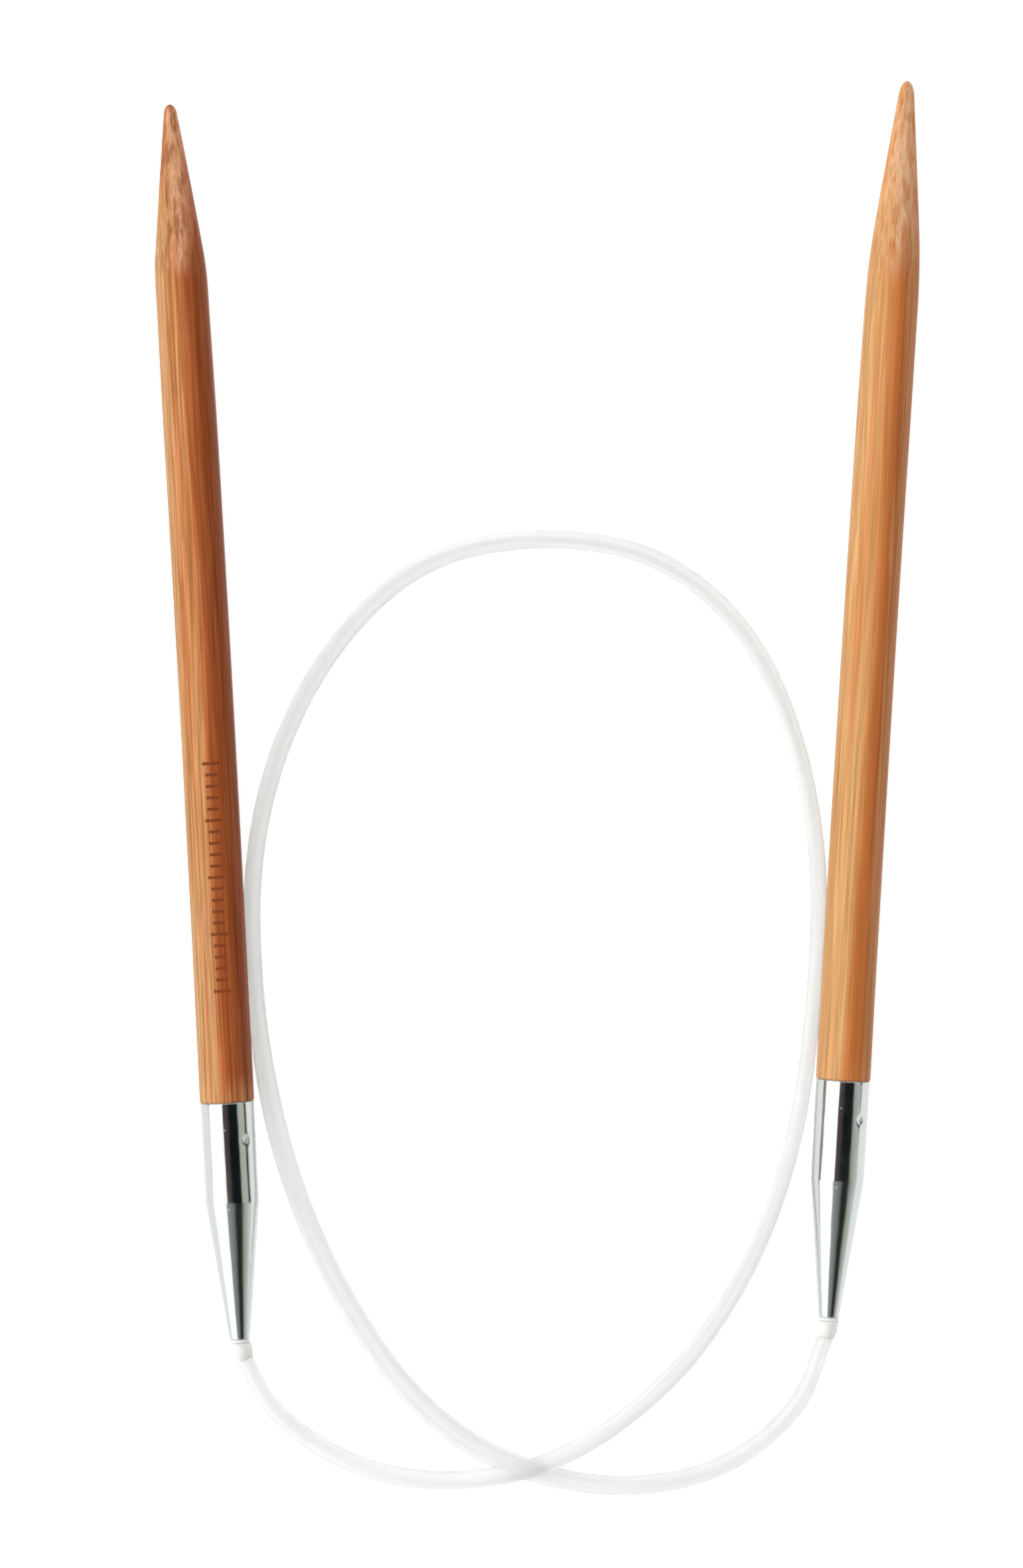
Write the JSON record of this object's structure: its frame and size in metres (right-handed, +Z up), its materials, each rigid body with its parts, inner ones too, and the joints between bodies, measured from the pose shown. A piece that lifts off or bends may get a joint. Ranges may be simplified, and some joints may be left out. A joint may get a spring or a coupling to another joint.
{
  "type": "circular knitting needle",
  "caption": "Circular knitting needle: tapered bamboo needles in conical metal ferrules, swivelling on the ends of a flexible clear cord that lies in a crossed loop.",
  "frame": {"origin": "on the surface that the needles lie on, under the middle of the bounding box of the needles without the cord", "axes": "+Y from the cord's end of the needles towards their tips, +X to the right seen from above with the tips away, +Z up out of the surface"},
  "size_m": [0.0843, 0.1556, 0.006],
  "materials": {
    "bamboo": "polished heat-darkened bamboo with fine lengthwise fibres",
    "chrome": "polished plated metal",
    "clear_plastic": "clear moulded plastic",
    "nylon_cord": "smooth translucent nylon, slightly milky",
    "brass": "plain crimped metal, hidden inside the ferrule"
  },
  "bodies": {
    "cord": {"cord_loop": "nylon_cord"},
    "left_end": {"left_cord_end": "nylon_cord", "left_cord_collar": "clear_plastic", "left_cord_stop": "brass"},
    "left_needle": {"left_needle_shaft": "bamboo", "left_ferrule": "chrome", "left_mouth_bush": "clear_plastic"},
    "right_end": {"right_cord_end": "nylon_cord", "right_cord_collar": "clear_plastic", "right_cord_stop": "brass"},
    "right_needle": {"right_needle_shaft": "bamboo", "right_ferrule": "chrome", "right_mouth_bush": "clear_plastic"}
  },
  "joints": [
    {"name": "left_cord_flex", "type": "hinge", "parent": "cord", "child": "left_end", "pos_m": [-0.03175, -0.07276, 0.003], "axis": [0, 0, 1], "range_deg": [0, 30], "stiffness_Nm_per_rad": 0.005},
    {"name": "left_swivel", "type": "hinge", "parent": "left_end", "child": "left_needle", "pos_m": [-0.03282, -0.06948, 0.003], "axis": [-0.0541, 0.9985, 0], "continuous": true},
    {"name": "right_cord_flex", "type": "hinge", "parent": "cord", "child": "right_end", "pos_m": [0.03135, -0.07041, 0.003], "axis": [0, 0, -1], "range_deg": [0, 30], "stiffness_Nm_per_rad": 0.005},
    {"name": "right_swivel", "type": "hinge", "parent": "right_end", "child": "right_needle", "pos_m": [0.03213, -0.06705, 0.003], "axis": [0.061, 0.9981, 0], "continuous": true}
  ]
}
